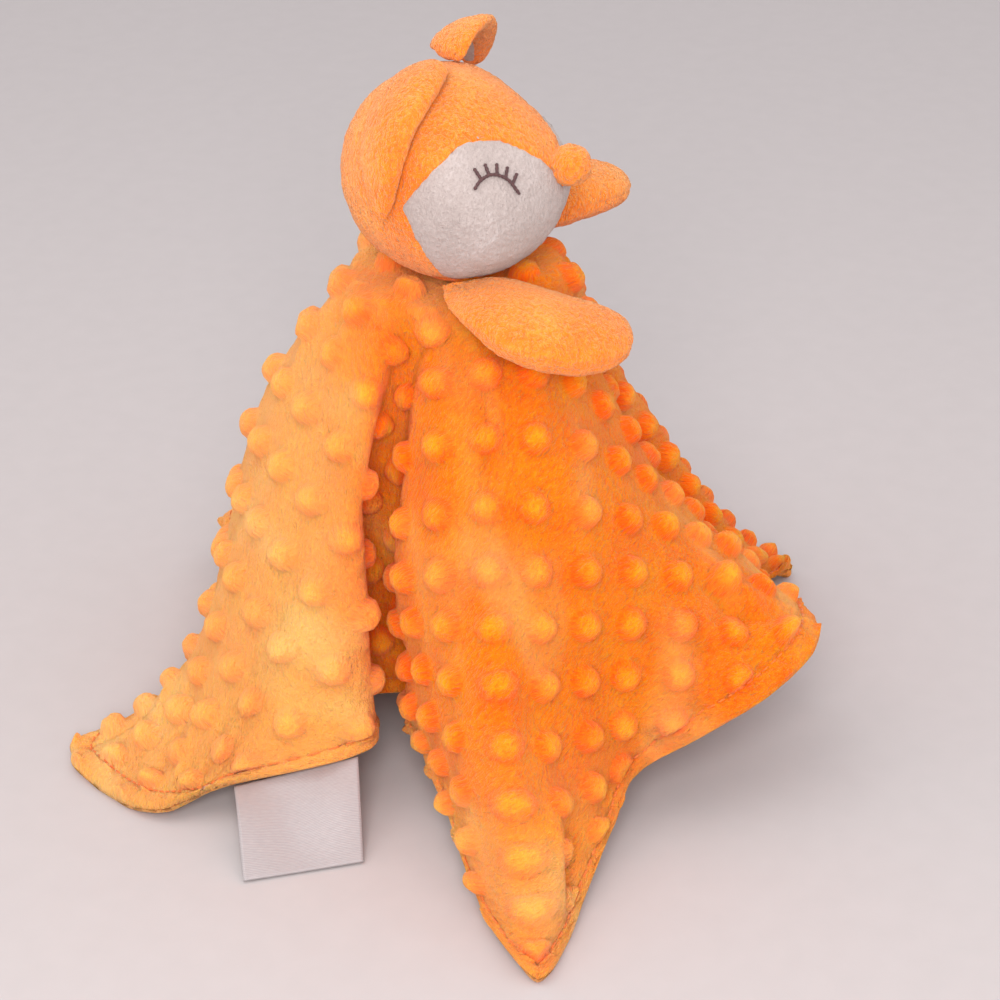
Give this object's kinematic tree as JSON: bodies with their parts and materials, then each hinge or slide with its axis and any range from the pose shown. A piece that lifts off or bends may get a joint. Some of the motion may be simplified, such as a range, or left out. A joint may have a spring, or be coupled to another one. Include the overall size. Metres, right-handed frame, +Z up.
{
  "type": "comfort blanket toy",
  "caption": "Soft toy for babies: a stuffed fox head and two arms sewn on the middle of a square dotted plush blanket that stands in folds like a tent.",
  "frame": {"origin": "middle of the footprint, on the floor", "axes": "the face looks along -Y, +Z is up, and +X is on the fox's left"},
  "size_m": [0.2386, 0.2218, 0.2192],
  "materials": {
    "dotted_plush": "short pile with raised round dots",
    "smooth_plush": "short pile",
    "orange_plush": "short pile",
    "white_plush": "short pile",
    "fibre_filling": "loose fibre",
    "orange_thread": "twisted thread",
    "brown_thread": "embroidery thread",
    "white_satin": "smooth satin"
  },
  "bodies": {
    "blanket": {"blanket_front": "dotted_plush", "blanket_back": "smooth_plush", "neck_stitching": "orange_thread"},
    "head": {"head_crown": "orange_plush", "cheek_right": "white_plush", "cheek_left": "white_plush", "head_filling": "fibre_filling", "nose_cover": "orange_plush", "nose_filling": "fibre_filling", "eye_right": "brown_thread", "eye_left": "brown_thread"},
    "ear_right": {"ear_right_outer": "orange_plush", "ear_right_lining": "white_plush"},
    "ear_left": {"ear_left_outer": "orange_plush", "ear_left_lining": "white_plush"},
    "arm_right": {"arm_right_top": "orange_plush", "arm_right_bottom": "orange_plush", "arm_right_filling": "fibre_filling"},
    "arm_left": {"arm_left_top": "orange_plush", "arm_left_bottom": "orange_plush", "arm_left_filling": "fibre_filling"},
    "label": {"care_label": "white_satin"}
  },
  "joints": [
    {"name": "head_turn", "type": "hinge", "parent": "blanket", "child": "head", "pos_m": [0.00747, 0.00527, 0.1488], "axis": [0, 0, 1], "range_deg": [-40, 40], "stiffness_Nm_per_rad": 0.05},
    {"name": "arm_right_swing", "type": "hinge", "parent": "blanket", "child": "arm_right", "pos_m": [-0.01053, 0.00187, 0.1506], "axis": [0, 0, 1], "range_deg": [-40, 4], "stiffness_Nm_per_rad": 0.03},
    {"name": "arm_left_swing", "type": "hinge", "parent": "blanket", "child": "arm_left", "pos_m": [0.02447, 0.00587, 0.1516], "axis": [0, 0, 1], "range_deg": [-15, 50], "stiffness_Nm_per_rad": 0.03},
    {"name": "ear_right_lift", "type": "hinge", "parent": "head", "child": "ear_right", "pos_m": [0.00247, 0.00927, 0.2126], "axis": [0, 1, 0], "range_deg": [0, 60]},
    {"name": "ear_left_bend", "type": "hinge", "parent": "head", "child": "ear_left", "pos_m": [0.01597, 0.01027, 0.2106], "axis": [0, 1, 0], "range_deg": [-40, 10], "stiffness_Nm_per_rad": 0.005},
    {"name": "label_lift", "type": "hinge", "parent": "blanket", "child": "label", "pos_m": [-0.0764, 0.0451, 0.01], "axis": [0.4115, -0.8823, 0.2286], "range_deg": [-30, 0]}
  ]
}
